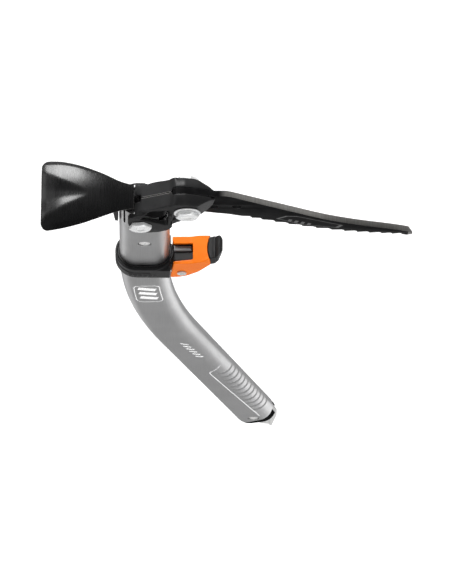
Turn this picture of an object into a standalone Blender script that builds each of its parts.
"""Technical ice axe with an adjustable finger rest, as an assembly of separate parts.

Metres, +Z up along the straight upper shaft, +X towards the pick, -Y is the near side.
The origin is in the carabiner eye of the head, on the centre line of the shaft.
"""
import math

import bmesh
import bpy
from mathutils import Matrix, Vector

MM = 0.001
GAP = 0.3                   # clearance between touching pieces, mm

# Shaft: an oval aluminium tube, straight at the top and bent towards the pick lower down (mm).
TUBE_HALF_X = 16.5
TUBE_HALF_Y = 10.0
TUBE_FLAT_HALF = 5.0        # half length of the flat on each side
TUBE_WALL = 1.5
TUBE_TOP = 3.0
BEND_START = -108.0
BEND_RADIUS = 540.0
BEND_ANGLE = math.radians(17.5)
LOWER_LENGTH = 209.0        # straight grip below the bend
END_CUT_ANGLE = math.radians(20.0)
PLUG_FACE_ANGLE = math.radians(6.9)
PLUG_FLANGE = 6.3           # mean thickness of the foot plug outside the tube
GRIP_GROOVES = 12
GROOVE_PITCH = 9.0
GROOVE_WIDTH = 3.2
GROOVE_DEPTH = 0.5
GROOVE_LAST = 24.9          # distance of the lowest groove from the end, at the front
GROOVE_SLANT = 0.7          # each groove rises towards the rear by this much for each mm
GROOVE_FROM = 7.0           # the grooves run forward from here
TUBE_SEGMENTS = 12          # points on each rounded end of the oval

# Head (mm).
FRONT_BOLT = (26.8, 6.3)
REAR_BOLT = (-2.8, -11.0)
SEAM = 0.15                 # half of the gap between the two cheeks
CHEEK_HALF_Y = 9.5
TONGUE_OUT_Y = 12.4
PICK_HALF = 1.9
BOLT_RADIUS = 4.0
BOLT_FLATS = 13.0
BOLT_HEAD = 2.6
NUT_HEIGHT = 3.2
WASHER_RADIUS = 8.5
WASHER_THICK = 0.9
RIVET_RADIUS = 4.0
HEAD_RIVET = (0.0, -54.0)
PICK_HOLES = ((58.4, -3.9), (43.9, -4.3))
PICK_HOLE_RADIUS = 3.1
PICK_TEETH = 13

# Foot (mm): u runs down the grip from the tube's end, v across it.
SPIKE_RIVET = (-7.5, 1.0)
SPIKE_HOLE = (19.0, -1.0)
SPIKE_HOLE_RADIUS = 5.2
SPIKE_HALF = 2.2

# Handrest (mm).
REST_TOP = -95.5
REST_BOTTOM = -110.5
PIN_X = 25.1
PIN_Z = -111.0
PIN_RADIUS = 2.4
TRIGGER_END = (62.6, 0.0)   # the trigger's end is hollowed around this upright axis
TRIGGER_END_RADIUS = 21.0
LINER_THICK = 1.0
COLLAR_HALF_X = 19.5
COLLAR_HALF_Y = 13.8

model = bpy.data.collections.new("Ice axe")


def clear_scene():
    """Empty the start-up scene and link the collection of the parts."""
    for obj in list(bpy.data.objects):
        bpy.data.objects.remove(obj, do_unlink=True)
    bpy.context.scene.collection.children.link(model)


def material(name, colour, roughness, metallic):
    mat = bpy.data.materials.new(name)
    mat.use_nodes = True
    shader = mat.node_tree.nodes["Principled BSDF"]
    shader.inputs["Base Color"].default_value = (*colour, 1.0)
    shader.inputs["Roughness"].default_value = roughness
    shader.inputs["Metallic"].default_value = metallic
    return mat


def link(obj):
    model.objects.link(obj)
    return obj


def mesh_object(name, bm):
    """Turn a finished bmesh into an object with outward faces."""
    bmesh.ops.recalc_face_normals(bm, faces=bm.faces[:])
    mesh = bpy.data.meshes.new(name)
    bm.to_mesh(mesh)
    bm.free()
    return link(bpy.data.objects.new(name, mesh))


def rounded(corners, steps=4):
    """Outline through corners (u, v, radius), each corner turned into a tangent arc."""
    points = []
    count = len(corners)
    for i, (u, v, radius) in enumerate(corners):
        here = Vector((u, v))
        before = (Vector(corners[i - 1][:2]) - here)
        after = (Vector(corners[(i + 1) % count][:2]) - here)
        if radius <= 0.0:
            points.append((u, v))
            continue
        half = before.angle(after) / 2.0
        reach = radius / math.tan(half)
        reach = min(reach, 0.49 * before.length, 0.49 * after.length)
        radius = reach * math.tan(half)
        before.normalize()
        after.normalize()
        centre = here + (before + after).normalized() * (radius / math.sin(half))
        start = here + before * reach - centre
        end = here + after * reach - centre
        sweep = start.angle_signed(end)
        for k in range(steps + 1):
            turn = Matrix.Rotation(-sweep * k / steps, 2)
            points.append(tuple(centre + turn @ start))
    return points


def circle(centre, radius, count):
    """Points of a circle around (u, v)."""
    turns = [math.tau * k / count for k in range(count)]
    return [(centre[0] + radius * math.cos(a), centre[1] + radius * math.sin(a)) for a in turns]


def smooth_line(knots, steps=4):
    """Points on a smooth line through the knots."""
    ends = [2 * Vector(knots[0]) - Vector(knots[1])]
    ends += [Vector(k) for k in knots]
    ends.append(2 * Vector(knots[-1]) - Vector(knots[-2]))
    points = []
    for i in range(1, len(ends) - 2):
        p0, p1, p2, p3 = ends[i - 1:i + 3]
        for k in range(steps):
            t = k / steps
            point = 0.5 * (2 * p1 + (p2 - p0) * t + (2 * p0 - 5 * p1 + 4 * p2 - p3) * t * t
                           + (3 * p1 - p0 - 3 * p2 + p3) * t ** 3)
            points.append(tuple(point))
    points.append(tuple(knots[-1]))
    return points


PLANES = {
    "XZ": Matrix.Rotation(math.radians(90), 4, "X"),
    "XY": Matrix.Identity(4),
    "YZ": Matrix.Rotation(math.radians(90), 4, "Z") @ Matrix.Rotation(math.radians(90), 4, "X"),
}


def plate(name, loops, low, high, plane="XZ"):
    """Flat outline with holes, drawn in a plane and extruded from low to high across it."""
    curve = bpy.data.curves.new(name, "CURVE")
    curve.dimensions = "2D"
    curve.fill_mode = "BOTH"
    curve.extrude = (high - low) / 2 * MM
    for loop in loops:
        spline = curve.splines.new("POLY")
        spline.points.add(len(loop) - 1)
        for point, (u, v) in zip(spline.points, loop):
            point.co = (u * MM, v * MM, 0.0, 1.0)
        spline.use_cyclic_u = True
    drawing = bpy.data.objects.new(name, curve)
    link(drawing)
    shift = (low + high) / 2 * MM
    across = {"XZ": (0.0, shift, 0.0), "XY": (0.0, 0.0, shift), "YZ": (shift, 0.0, 0.0)}[plane]
    drawing.matrix_world = Matrix.Translation(across) @ PLANES[plane]
    return curve_to_mesh(drawing, name)


def curve_to_mesh(drawing, name):
    """Replace a curve object by a closed mesh object with its caps welded on."""
    bpy.context.view_layer.update()
    graph = bpy.context.evaluated_depsgraph_get()
    mesh = bpy.data.meshes.new_from_object(drawing.evaluated_get(graph))
    bm = bmesh.new()
    bm.from_mesh(mesh)
    bmesh.ops.remove_doubles(bm, verts=bm.verts[:], dist=1e-6)
    bmesh.ops.transform(bm, matrix=drawing.matrix_world, verts=bm.verts[:])
    bpy.data.objects.remove(drawing, do_unlink=True)
    bpy.data.meshes.remove(mesh)
    return mesh_object(name, bm)


def cylinder(name, radius, centre, low, high, segments=24, axis="Y"):
    """Round bar along Y (centre is x, z) or along Z (centre is x, y)."""
    bm = bmesh.new()
    bmesh.ops.create_cone(bm, cap_ends=True, segments=segments, radius1=radius * MM,
                          radius2=radius * MM, depth=(high - low) * MM)
    middle = (low + high) / 2 * MM
    if axis == "Y":
        bmesh.ops.rotate(bm, matrix=Matrix.Rotation(math.radians(90), 3, "X"), verts=bm.verts[:])
        place = (centre[0] * MM, middle, centre[1] * MM)
    else:
        place = (centre[0] * MM, centre[1] * MM, middle)
    bmesh.ops.translate(bm, vec=place, verts=bm.verts[:])
    return mesh_object(name, bm)


def box(name, low, high):
    """Box between two corners given in millimetres."""
    bm = bmesh.new()
    bmesh.ops.create_cube(bm, size=1.0)
    size = [(b - a) * MM for a, b in zip(low, high)]
    middle = [(a + b) / 2 * MM for a, b in zip(low, high)]
    bmesh.ops.scale(bm, vec=size, verts=bm.verts[:])
    bmesh.ops.translate(bm, vec=middle, verts=bm.verts[:])
    return mesh_object(name, bm)


def combine(target, tool, operation="DIFFERENCE"):
    """Boolean the tool into the target, apply it and remove the tool."""
    modifier = target.modifiers.new(operation.title(), "BOOLEAN")
    modifier.operation = operation
    modifier.solver = "EXACT"
    modifier.object = tool
    bpy.context.view_layer.update()
    graph = bpy.context.evaluated_depsgraph_get()
    mesh = bpy.data.meshes.new_from_object(target.evaluated_get(graph))
    target.modifiers.clear()
    old = target.data
    target.data = mesh
    bpy.data.meshes.remove(old)
    bpy.data.objects.remove(tool, do_unlink=True)
    return target


def oval(offset=0.0, half_x=TUBE_HALF_X, half_y=TUBE_HALF_Y, flat=TUBE_FLAT_HALF,
         segments=TUBE_SEGMENTS):
    """Section of the tube grown by an offset: two flats joined by half ellipses."""
    points = []
    for side in (1, -1):
        for k in range(segments + 1):
            angle = math.radians(90) - math.pi * k / segments
            x = flat + (half_x + offset - flat) * math.cos(angle)
            points.append((side * x, side * (half_y + offset) * math.sin(angle)))
    return points


def shaft_path():
    """Centre line of the shaft as (x, z): straight, an arc, straight."""
    points = [(0.0, TUBE_TOP + 20.0), (0.0, BEND_START)]
    steps = 8
    for k in range(1, steps + 1):
        angle = BEND_ANGLE * k / steps
        x = BEND_RADIUS * (1.0 - math.cos(angle))
        points.append((x, BEND_START - BEND_RADIUS * math.sin(angle)))
    x, z = points[-1]
    reach = LOWER_LENGTH + 20.0
    points.append((x + reach * math.sin(BEND_ANGLE), z - reach * math.cos(BEND_ANGLE)))
    return points


def swept_oval(name, offset):
    """The oval carried along the shaft's centre line, as a closed bar."""
    section = bpy.data.curves.new(name + " section", "CURVE")
    section.dimensions = "2D"
    spline = section.splines.new("POLY")
    ring = oval(offset)
    spline.points.add(len(ring) - 1)
    for point, (x, y) in zip(spline.points, ring):
        point.co = (x * MM, y * MM, 0.0, 1.0)
    spline.use_cyclic_u = True
    profile = bpy.data.objects.new(name + " section", section)
    link(profile)
    path = bpy.data.curves.new(name, "CURVE")
    path.dimensions = "2D"
    path.bevel_mode = "OBJECT"
    path.bevel_object = profile
    path.use_fill_caps = True
    line = path.splines.new("POLY")
    knots = shaft_path()
    line.points.add(len(knots) - 1)
    for point, (x, z) in zip(line.points, knots):
        point.co = (x * MM, z * MM, 0.0, 1.0)
    drawing = bpy.data.objects.new(name, path)
    link(drawing)
    drawing.matrix_world = PLANES["XZ"]
    obj = curve_to_mesh(drawing, name)
    bpy.data.objects.remove(profile, do_unlink=True)
    return obj


def along_grip(u, v):
    """Point (x, z) at u down the lower straight from its end and v across, in mm."""
    x, z = shaft_path()[-2]
    down = (math.sin(BEND_ANGLE), -math.cos(BEND_ANGLE))
    side = (math.cos(BEND_ANGLE), math.sin(BEND_ANGLE))
    u += LOWER_LENGTH
    return (x + u * down[0] + v * side[0], z + u * down[1] + v * side[1])


EYE = [(-3.4, -1.6, 1.2), (-0.5, 3.6, 2.0), (14.8, 8.2, 1.5), (14.8, -12.4, 1.5), (9.0, -7.8, 5.0)]
CHEEK_REAR = [
    (-6.5, 3.4, 0.0), (9.4, 13.0, 0.0), (17.5, 18.2, 0.0), (17.5, -14.5, 0.0), (14.6, -20.4, 5.0),
    (9.5, -25.2, 6.0), (3.0, -27.4, 6.0), (-5.4, -25.0, 6.0), (-9.6, -17.4, 6.0),
    (-10.8, -8.0, 6.0), (-10.6, 0.0, 4.0),
]
CHEEK_FRONT = [
    (16.0, 17.3, 0.0), (19.0, 20.6, 2.5), (25.0, 21.4, 4.0), (33.5, 18.8, 6.0), (40.9, 15.6, 2.0),
    (44.2, 12.2, 1.0), (43.0, 3.6, 3.0), (39.0, -1.6, 4.0), (29.0, -5.6, 6.0), (22.0, -9.4, 3.0),
    (16.0, -14.6, 0.0),
]


def cheek_near():
    """Near half of the forged head: top bar, tongue on the shaft and the front cheek."""
    rear = plate("head_cheek_near", [rounded(CHEEK_REAR)], -20.0, 1.0)
    profile = [
        (3.0, 23.0, 0.0), (-8.3, 23.0, 0.0), (-CHEEK_HALF_Y, 11.0, 3.0),
        (-8.6, 4.6, 3.0), (-TONGUE_OUT_Y, -2.0, 4.0), (-TONGUE_OUT_Y, -19.0, 3.0),
        (-11.4, -29.0, 0.0), (3.0, -29.0, 0.0),
    ]
    combine(rear, plate("front view", [rounded(profile)], -20, 20, "YZ"), "INTERSECT")
    front = plate("front cheek", [rounded(CHEEK_FRONT)], -20.0, 2.0)
    lens = [
        (10.0, 3.0, 0.0), (10.0, -CHEEK_HALF_Y, 0.0), (32.5, -CHEEK_HALF_Y, 8.0),
        (38.2, -6.0, 6.0), (42.3, -3.7, 4.0), (45.0, -2.5, 0.0), (45.0, 3.0, 0.0),
    ]
    combine(front, plate("top view", [rounded(lens)], -30, 30, "XY"), "INTERSECT")
    combine(rear, front, "UNION")
    combine(rear, box("far side", (-60, -SEAM, -60), (60, 10, 60)))
    combine(rear, plate("eye", [rounded(EYE)], -20, 20))
    room = plate("tube room", [oval(GAP)], -45, TUBE_TOP + GAP, "XY")
    step = [(-30, -50), (30, -50), (30, -14.4), (15.3, -14.4), (15.3, 30), (-30, 30)]
    combine(room, plate("tube steps", [step], -30, 30), "INTERSECT")
    combine(rear, room)
    tang_room = box("tang room", (-14, -PICK_HALF - GAP, -10), (-2.6, 5, 30))
    combine(rear, tang_room)
    pick_room = box("pick room", (17.0, -PICK_HALF - GAP, -30), (60, 5, 40))
    combine(rear, pick_room)
    for centre in (FRONT_BOLT, REAR_BOLT):
        combine(rear, cylinder("bolt hole", BOLT_RADIUS + GAP, centre, -30, 5))
    return rear


def mirrored(source, name):
    """Copy of an object reflected in the middle plane."""
    bm = bmesh.new()
    bm.from_mesh(source.data)
    bmesh.ops.scale(bm, vec=(1, -1, 1), verts=bm.verts[:])
    bmesh.ops.reverse_faces(bm, faces=bm.faces[:])
    mesh = bpy.data.meshes.new(name)
    bm.to_mesh(mesh)
    bm.free()
    return link(bpy.data.objects.new(name, mesh))


def pick():
    """Steel blade with a drooping top edge, saw teeth below and a bevelled point."""
    top = [(17.4, 19.9), (25.0, 20.6), (33.5, 18.1), (40.9, 15.4), (51.0, 15.4)]
    droop = [(54.0, 14.2), (71.7, 2.7), (95.4, -12.4), (115.4, -24.9), (135.4, -34.0),
             (160.0, -42.2), (172.2, -47.2)]
    top += smooth_line(droop, 3)
    point = [(175.0, -54.4), (172.2, -53.6)]
    belly = [(168.0, -52.0), (150.0, -50.4), (128.4, -46.6), (104.5, -39.4), (80.7, -29.2),
             (62.0, -20.4)]
    line = smooth_line(belly, 12)
    teeth = []
    for k in range(PICK_TEETH):
        start = Vector(line[round(k * (len(line) - 1) / PICK_TEETH)])
        end = Vector(line[round((k + 1) * (len(line) - 1) / PICK_TEETH)])
        teeth.append(tuple(start))
        teeth.append(tuple(start.lerp(end, 0.25) + Vector((0.6, 2.0))))
    teeth.append(tuple(line[-1]))
    heel = [(54.0, -17.0), (40.0, -13.6), (28.0, -9.4), (17.4, -6.5)]
    holes = [circle(centre, PICK_HOLE_RADIUS, 20) for centre in PICK_HOLES]
    holes.append(circle(FRONT_BOLT, BOLT_RADIUS + GAP, 24))
    outline = top + point + teeth + heel
    blade = plate("pick", [outline] + holes, -PICK_HALF, PICK_HALF)
    for side in (-1, 1):
        wedge = [(171.0, side * 3.0), (171.0, side * 1.95), (176.0, side * 0.6),
                 (176.0, side * 3.0)]
        combine(blade, plate("point bevel", [wedge], -80, -20, "XY"))
    return blade


ADZE_STATIONS = [           # x, half width, edge height, crown of the middle, all in mm
    (-7.0, 7.9, 7.4, 0.4), (-16.0, 10.0, 9.0, 0.8), (-27.0, 14.6, 10.8, 1.6),
    (-40.0, 19.4, 11.2, 2.6), (-52.0, 22.4, 10.2, 3.2), (-61.5, 23.4, 8.2, 3.4),
    (-65.6, 22.0, 6.4, 3.4),
]
ADZE_THICK = 3.0


def adze():
    """Forged adze blade: a flaring arched sheet with a tang down to the rear bolt."""
    rows = smooth_line(ADZE_STATIONS, 2)
    across = 8
    bm = bmesh.new()
    bmesh.ops.create_grid(bm, x_segments=len(rows) - 1, y_segments=across, size=0.5)
    bm.verts.ensure_lookup_table()
    for vert in bm.verts:
        row = round((vert.co.x + 0.5) * (len(rows) - 1))
        share = vert.co.y * 2.0
        x, half, edge, crown = rows[row]
        vert.co = (x * MM, share * half * MM, (edge + crown * (1.0 - share * share)) * MM)
    blade = mesh_object("adze", bm)
    thick = blade.modifiers.new("Thickness", "SOLIDIFY")
    thick.thickness = ADZE_THICK * MM
    up = blade.data.polygons[0].normal.z
    thick.offset = -1.0 if up > 0 else 1.0
    bpy.context.view_layer.update()
    graph = bpy.context.evaluated_depsgraph_get()
    mesh = bpy.data.meshes.new_from_object(blade.evaluated_get(graph))
    blade.modifiers.clear()
    blade.data = mesh
    tang = plate("tang", [rounded([
        (-22.0, 7.4, 0.0), (-7.4, 5.8, 0.0), (-5.2, 0.0, 2.0), (2.2, -6.6, 3.0),
        (2.8, -14.0, 4.0), (-5.0, -17.4, 4.0), (-9.0, -11.0, 4.0), (-9.0, 2.0, 2.0),
        (-14.0, 5.2, 3.0), (-22.0, 6.6, 0.0),
    ])], -PICK_HALF, PICK_HALF)
    combine(blade, tang, "UNION")
    combine(blade, cylinder("bolt hole", BOLT_RADIUS + GAP, REAR_BOLT, -10, 10))
    return blade


def head_insert():
    """Block that fills the top of the tube and takes the rear bolt, slotted for the adze."""
    body = plate("head_insert", [oval(-TUBE_WALL - GAP)], -38.0, TUBE_TOP - 1.5, "XY")
    combine(body, plate("eye", [rounded(EYE)], -20, 20))
    combine(body, box("front room", (12.0, -20, -12.6), (30, 20, 20)))
    combine(body, box("top room", (-3.9, -20, -3.6), (30, 20, 20)))
    combine(body, box("tang room", (-10.0, -PICK_HALF - GAP, -19.0), (4.0, PICK_HALF + GAP, 20)))
    combine(body, cylinder("bolt hole", BOLT_RADIUS + GAP, REAR_BOLT, -20, 20))
    return body


def shaft_tube():
    """Oval tube with a notch for the carabiner eye, bolt and rivet holes and a slanted end."""
    tube = swept_oval("shaft_tube", 0.0)
    combine(tube, swept_oval("bore", -TUBE_WALL))
    combine(tube, box("top cut", (-40, -40, TUBE_TOP), (40, 40, 60)))
    combine(tube, plate("eye", [rounded(EYE)], -20, 20))
    combine(tube, box("front notch", (9.0, -20, -14.8), (30, 20, 20)))
    combine(tube, cylinder("bolt hole", BOLT_RADIUS + GAP, REAR_BOLT, -20, 20))
    slit = [(-13.6, 10.0), (-12.4, 10.0), (-12.4, -20.0), (-13.6, -20.0)]
    combine(tube, plate("rear slit", [slit], -20, 20))
    combine(tube, end_cutter())
    for k in range(GRIP_GROOVES):
        combine(tube, groove_cutter(GROOVE_LAST + k * GROOVE_PITCH))
    return tube


def groove_cutter(height):
    """Crescent ring that presses one finger groove into the front of the grip."""
    ring = plate("groove", [oval(2.0)], -GROOVE_WIDTH / 2, GROOVE_WIDTH / 2, "XY")
    combine(ring, plate("core", [oval(-GROOVE_DEPTH)], -10, 10, "XY"))
    combine(ring, box("rear half", (-40, -40, -20), (GROOVE_FROM, 40, 20)))
    slant = Matrix.Identity(4)
    slant[2][0] = -GROOVE_SLANT
    slant[2][3] = GROOVE_SLANT * TUBE_HALF_X * MM
    x, z = along_grip(-height, 0.0)
    turn = Matrix.Rotation(-BEND_ANGLE, 4, "Y")
    ring.data.transform(Matrix.Translation((x * MM, 0.0, z * MM)) @ turn @ slant)
    return ring


def end_cutter():
    """Block that trims the slanted lower end of the tube."""
    drop = math.tan(END_CUT_ANGLE) * 40.0
    corners = [along_grip(drop, -40.0), along_grip(-drop, 40.0), along_grip(80.0, 60.0),
               along_grip(80.0, -60.0)]
    return plate("end cut", [corners], -30, 30)


def hex_piece(name, centre, inner, outer, radius_flats=BOLT_FLATS / 2):
    """Hexagon along Y between two levels, its outer edge chamfered."""
    height = abs(outer - inner)
    side = 1 if outer > inner else -1
    piece = cylinder(name, radius_flats / math.cos(math.radians(30)), centre,
                     min(inner, outer), max(inner, outer), 6)
    bm = bmesh.new()
    small = radius_flats - 0.3
    depth = height + 0.4
    bmesh.ops.create_cone(bm, cap_ends=True, segments=28, depth=depth * MM,
                          radius1=(small + depth * math.tan(math.radians(60))) * MM,
                          radius2=small * MM)
    bmesh.ops.rotate(bm, matrix=Matrix.Rotation(math.radians(-90 * side), 3, "X"),
                     verts=bm.verts[:])
    middle = (outer - side * depth / 2) * MM
    bmesh.ops.translate(bm, vec=(centre[0] * MM, middle, centre[1] * MM), verts=bm.verts[:])
    cone = mesh_object("chamfer", bm)
    return combine(piece, cone, "INTERSECT")


def bolt(name, centre, seat, reach):
    """Hex bolt from the near side, its shank running to the far side."""
    head = hex_piece(name, centre, -seat, -seat - BOLT_HEAD)
    combine(head, cylinder("shank", BOLT_RADIUS, centre, -seat - 0.5, reach), "UNION")
    dimple = cylinder("dimple", 2.0, centre, -seat - BOLT_HEAD - 1.0, -seat - BOLT_HEAD + 0.8, 12)
    return combine(head, dimple)


def nut(name, centre, seat):
    """Hex nut on the far side with a clear bore for the shank."""
    body = hex_piece(name, centre, seat, seat + NUT_HEIGHT)
    return combine(body, cylinder("bore", BOLT_RADIUS + GAP, centre, 0, seat + 20))


def washer():
    seat = -CHEEK_HALF_Y - GAP
    ring = cylinder("front_washer", WASHER_RADIUS, FRONT_BOLT, seat - WASHER_THICK, seat, 32)
    return combine(ring, cylinder("bore", BOLT_RADIUS + GAP, FRONT_BOLT, -30, 0))


def top_plug():
    """Plastic plug in the rear of the tube's mouth with a lobe that hooks over its back wall."""
    inner = plate("shaft_top_plug", [oval(-TUBE_WALL - GAP)], TUBE_TOP - 1.2, TUBE_TOP + 1.6, "XY")
    combine(inner, box("front room", (-9.8, -20, -30), (30, 20, 30)))
    lobe = plate("lobe", [rounded([(-21.4, 4.6, 2.0), (-14.0, 4.6, 0.0), (-14.0, 3.4, 0.0),
                                   (-17.0, 3.4, 0.0), (-17.0, -27.0, 0.0), (-18.8, -27.0, 1.0)])],
                 -4.8, 4.8)
    rear_view = rounded([(-4.8, -27.0, 4.0), (4.8, -27.0, 4.0), (4.8, 10.0, 0.0),
                         (-4.8, 10.0, 0.0)])
    combine(lobe, plate("rear view", [rear_view], -40, 0, "YZ"), "INTERSECT")
    combine(inner, lobe, "UNION")
    tang_room = box("tang room", (-14.2, -PICK_HALF - GAP, -10), (0, PICK_HALF + GAP, 20))
    return combine(inner, tang_room)


def cross_pin(name, centre, half):
    return cylinder(name, RIVET_RADIUS, centre, -half, half, 24)


def spike():
    """Pointed steel blade at the foot with a carabiner hole, its root held in the plug."""
    corners = [(-30.0, -9.0, 2.0), (4.0, -9.0, 0.0), (7.0, -12.0, 2.0), (16.0, -12.5, 4.0),
               (41.5, 0.5, 0.0), (41.5, 2.9, 0.0), (13.0, 14.6, 4.0), (-4.8, 15.6, 0.0),
               (-2.4, 9.0, 0.0), (-30.0, 9.0, 2.0)]
    outline = rounded([(*along_grip(u, v), r) for u, v, r in corners], 3)
    hole = circle(along_grip(*SPIKE_HOLE), SPIKE_HOLE_RADIUS, 20)
    return plate("spike", [outline, hole], -SPIKE_HALF, SPIKE_HALF)


def spike_plug():
    """Plastic foot plug: a sleeve in the tube and a flange against its slanted end."""
    inner = swept_oval("spike_plug", -TUBE_WALL - GAP)
    drop = math.tan(END_CUT_ANGLE)
    room = [along_grip(-36.0, -40), along_grip(-36.0, 40), along_grip(3.0 - drop * 40, 40),
            along_grip(3.0 + drop * 40, -40)]
    combine(inner, plate("length", [room], -30, 30), "INTERSECT")
    flange = swept_oval("flange", -0.4)
    flat_drop = math.tan(PLUG_FACE_ANGLE)
    band = [along_grip(GAP + drop * 40, -40), along_grip(GAP - drop * 40, 40),
            along_grip(PLUG_FLANGE - flat_drop * 40, 40),
            along_grip(PLUG_FLANGE + flat_drop * 40, -40)]
    combine(flange, plate("band", [band], -30, 30), "INTERSECT")
    combine(inner, flange, "UNION")
    slot = [along_grip(u, v) for u, v in
            [(-31.0, -9.4), (1.0, -9.4), (1.0, -20.0), (30.0, -20.0), (30.0, 20.0), (-8.0, 20.0),
             (-8.0, 9.4), (-31.0, 9.4)]]
    return combine(inner, plate("spike slot", [slot], -SPIKE_HALF - GAP, SPIKE_HALF + GAP))


def rest_collar():
    """Black handrest body: a collar around the shaft and a spine out to the front."""
    collar = plate("rest_body", [oval(0.0, COLLAR_HALF_X, COLLAR_HALF_Y)], REST_BOTTOM, REST_TOP,
                   "XY")
    shoulder = plate("shoulder", [rounded([(4.0, -COLLAR_HALF_Y, 0.0), (17.6, -COLLAR_HALF_Y, 1.4),
                                           (17.6, 12.8, 2.5), (4.0, COLLAR_HALF_Y, 0.0)])],
                     REST_BOTTOM, REST_TOP - 1.0, "XY")
    combine(collar, shoulder, "UNION")
    spine = plate("spine", [rounded([
        (12.0, -98.6, 0.0), (34.0, -97.2, 6.0), (45.8, -90.4, 0.0), (45.8, -98.6, 0.0),
        (36.0, -110.0, 5.0), (26.0, -117.0, 6.0), (12.0, -119.0, 0.0),
    ])], -5.8, 5.4)
    combine(collar, spine, "UNION")
    nose = plate("nose", [rounded([(40.0, -89.4, 0.0), (44.6, -87.4, 0.0), (47.6, -85.2, 1.0),
                                   (47.6, -97.6, 1.0), (40.0, -102.0, 0.0)])], -7.6, 7.6)
    fitted = cylinder("fitted end", TRIGGER_END_RADIUS - 0.4, TRIGGER_END, -130.0, -70.0, 48, "Z")
    combine(nose, fitted, "INTERSECT")
    combine(collar, nose, "UNION")
    bore = plate("bore", [oval(GAP + LINER_THICK + GAP)], -140, -80, "XY")
    combine(collar, bore)
    combine(collar, box("bar room", (18.8, 0.1, -110.0), (33.2, 4.3, -80.0)))
    combine(collar, box("spring room", (20.6, -4.0, -115.6), (29.6, -0.6, -106.4)))
    combine(collar, box("spring mouth", (20.6, -4.0, -115.6), (24.0, -0.6, -90.0)))
    combine(collar, box("pad room", (14.0, -4.2, -109.0), (20.3, -0.3, -101.0)))
    swing = [(17.0, -90.0), (17.0, -97.5), (17.5, -104.0), (18.0, -112.0), (30.0, -112.0),
             (30.0, -90.0)]
    for low, high in ((-10.4, -6.3), (5.9, 10.4)):
        combine(collar, plate("room for the trigger's sides", [swing], low, high))
    combine(collar, box("room for the trigger's roof", (17.0, 4.4, -97.0), (24.0, 6.3, -90.0)))
    combine(collar, cylinder("pin hole", PIN_RADIUS + GAP, (PIN_X, PIN_Z), -20, 20))
    return collar


def rest_liner():
    """Thin sliding sleeve between the collar and the tube."""
    sleeve = plate("rest_liner", [oval(GAP + LINER_THICK)], REST_BOTTOM + 0.4, REST_TOP - 0.6, "XY")
    combine(sleeve, plate("bore", [oval(GAP)], -140, -80, "XY"))
    return combine(sleeve, box("pad window", (10.0, -4.5, -109.3), (22.0, 4.5, -100.7)))


def rest_tip():
    """Rubber cap on the end of the handrest, rising towards the head."""
    side = rounded([(47.9, -85.6, 0.0), (49.4, -82.0, 1.2), (51.4, -82.6, 1.2), (51.4, -86.4, 3.0),
                    (49.4, -94.0, 3.0), (47.9, -97.2, 0.0)])
    cap = plate("rest_tip", [side], -8.0, 8.0)
    top = rounded([(40.0, -7.4, 0.0), (49.0, -7.0, 2.0), (51.8, -2.5, 3.0), (51.8, 5.0, 2.0),
                   (50.2, 7.4, 1.5), (40.0, 7.4, 0.0)])
    return combine(cap, plate("top view", [top], -120, -60, "XY"), "INTERSECT")


def trigger():
    """Orange saddle over the spine: a slotted top and two side plates around the pin."""
    side = rounded([(19.4, -93.4, 1.0), (31.0, -92.8, 8.0), (43.8, -87.4, 1.0),
                    (44.0, -98.0, 3.0), (36.0, -111.0, 6.0), (29.0, -117.6, 4.0),
                    (24.0, -120.6, 3.0), (17.6, -121.4, 1.0)])
    body = plate("trigger", [side], -9.6, 9.6)
    front = rounded([(-9.6, -130.0, 0.0), (-9.6, -91.0, 3.2), (-6.0, -80.0, 0.0),
                     (6.0, -80.0, 0.0), (9.6, -91.0, 3.2), (9.6, -130.0, 0.0)])
    combine(body, plate("front view", [front], 0, 60, "YZ"), "INTERSECT")
    room = rounded([(10.0, -96.0, 0.0), (33.0, -95.0, 8.0), (50.0, -88.2, 0.0), (50.0, -130.0, 0.0),
                    (10.0, -130.0, 0.0)])
    combine(body, plate("saddle room", [room], -6.6, 6.2))
    combine(body, box("top slot", (10.0, -7.6, -98.5), (32.2, 4.8, -80.0)))
    hollow = cylinder("end hollow", TRIGGER_END_RADIUS, TRIGGER_END, -130.0, -70.0, 48, "Z")
    combine(body, hollow)
    combine(body, cylinder("pin hole", PIN_RADIUS + GAP, (PIN_X, PIN_Z), -20, 20))
    return body


def trigger_pin():
    """Steel pivot pin with a flat head on both sides."""
    pin = cylinder("trigger_pin", PIN_RADIUS, (PIN_X, PIN_Z), -10.0, 10.0)
    for low, high in ((-10.9, -9.9), (9.9, 10.9)):
        combine(pin, cylinder("head", 3.1, (PIN_X, PIN_Z), low, high), "UNION")
    return pin


def trigger_spring():
    """Torsion spring around the pin with one leg up the spine."""
    radius = 3.3
    turns = 2.5
    steps = 10
    count = int(turns * steps)
    curve = bpy.data.curves.new("trigger_spring", "CURVE")
    curve.dimensions = "3D"
    curve.bevel_depth = 0.4 * MM
    curve.bevel_resolution = 1
    curve.use_fill_caps = True
    points = []
    for k in range(count + 1):
        angle = math.tau * k / steps
        points.append((PIN_X - radius * math.cos(angle), -3.4 + 2.2 * k / count,
                       PIN_Z + radius * math.sin(angle)))
    points.insert(0, (PIN_X - radius, -3.4, PIN_Z + 12.0))
    spline = curve.splines.new("POLY")
    spline.points.add(len(points) - 1)
    for point, (x, y, z) in zip(spline.points, points):
        point.co = (x * MM, y * MM, z * MM, 1.0)
    drawing = bpy.data.objects.new("trigger_spring", curve)
    link(drawing)
    return curve_to_mesh(drawing, "trigger_spring")


def spine_bar():
    """Grey bar lying in the groove of the spine under the trigger's slot."""
    return plate("spine_bar", [rounded([(19.4, -96.6, 1.0), (31.6, -96.2, 1.0),
                                          (32.4, -104.0, 2.0), (19.4, -108.0, 2.0)])], 0.5, 3.9)


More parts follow.
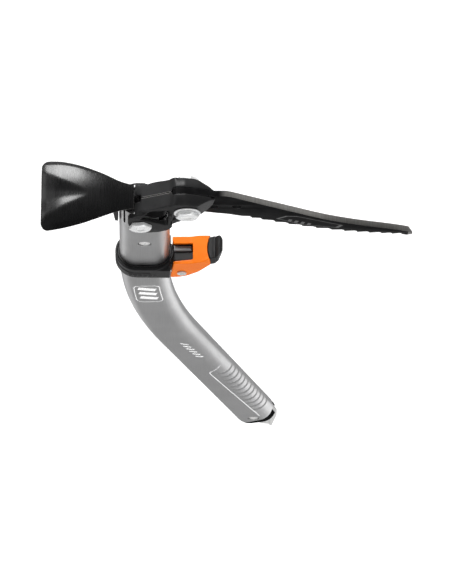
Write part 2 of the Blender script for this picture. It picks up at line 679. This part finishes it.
def brake_pad():
    """Rubber pad behind a window of the liner, facing the tube."""
    pad = box("brake_pad", (15.0, -3.9, -108.7), (20.0, -0.6, -101.3))
    return combine(pad, plate("tube room", [oval(GAP)], -140, -80, "XY"))


def paint(obj, mat):
    obj.data.materials.clear()
    obj.data.materials.append(mat)
    obj.data.shade_smooth()
    obj.data.set_sharp_from_angle(angle=math.radians(32))


def set_origin(obj, point):
    """Move an object's origin to a point in mm without moving its shape."""
    offset = Vector(point) * MM
    obj.data.transform(Matrix.Translation(-offset))
    obj.location = offset


def main():
    clear_scene()
    black_forged = material("black forged alloy", (0.035, 0.035, 0.037), 0.45, 0.4)
    black_pick = material("black coated steel", (0.03, 0.031, 0.033), 0.4, 0.5)
    black_adze = material("glossy black steel", (0.015, 0.015, 0.016), 0.22, 0.4)
    satin = material("satin aluminium", (0.62, 0.62, 0.62), 0.38, 0.9)
    zinc = material("bright zinc", (0.78, 0.78, 0.76), 0.22, 1.0)
    steel = material("stainless steel", (0.6, 0.6, 0.58), 0.35, 1.0)
    plastic = material("black nylon", (0.03, 0.03, 0.032), 0.4, 0.0)
    rubber = material("black rubber", (0.02, 0.02, 0.022), 0.6, 0.0)
    orange = material("orange nylon", (0.95, 0.28, 0.03), 0.4, 0.0)
    grey = material("grey bar steel", (0.25, 0.25, 0.25), 0.4, 0.8)

    near = cheek_near()
    far = mirrored(near, "head_cheek_far")
    insert = head_insert()
    tube = shaft_tube()
    low_rivet = along_grip(*SPIKE_RIVET)
    front_seat = CHEEK_HALF_Y + WASHER_THICK + 2 * GAP
    rear_seat = TONGUE_OUT_Y + GAP
    plug = spike_plug()
    blade = spike()
    for centre, pieces in ((HEAD_RIVET, (tube, insert)), (low_rivet, (tube, plug, blade))):
        for piece in pieces:
            combine(piece, cylinder("rivet hole", RIVET_RADIUS + GAP, centre, -30, 30))
    finishes = [
        (near, black_forged), (far, black_forged), (insert, plastic), (tube, satin),
        (top_plug(), plastic), (pick(), black_pick), (adze(), black_adze),
        (washer(), zinc),
        (bolt("front_bolt", FRONT_BOLT, front_seat, CHEEK_HALF_Y + NUT_HEIGHT + 0.8), zinc),
        (nut("front_nut", FRONT_BOLT, CHEEK_HALF_Y + GAP), zinc),
        (bolt("rear_bolt", REAR_BOLT, rear_seat, TONGUE_OUT_Y - 0.4), zinc),
        (cross_pin("head_rivet", HEAD_RIVET, TUBE_HALF_Y), steel),
        (blade, steel), (plug, plastic),
        (cross_pin("spike_rivet", low_rivet, TUBE_HALF_Y), steel),
        (rest_collar(), plastic), (rest_liner(), plastic), (rest_tip(), rubber),
        (trigger_pin(), steel), (trigger_spring(), steel), (spine_bar(), grey),
        (brake_pad(), rubber),
    ]
    for obj, mat in finishes:
        paint(obj, mat)
    saddle = trigger()
    paint(saddle, orange)
    set_origin(saddle, (PIN_X, 0.0, PIN_Z))


main()
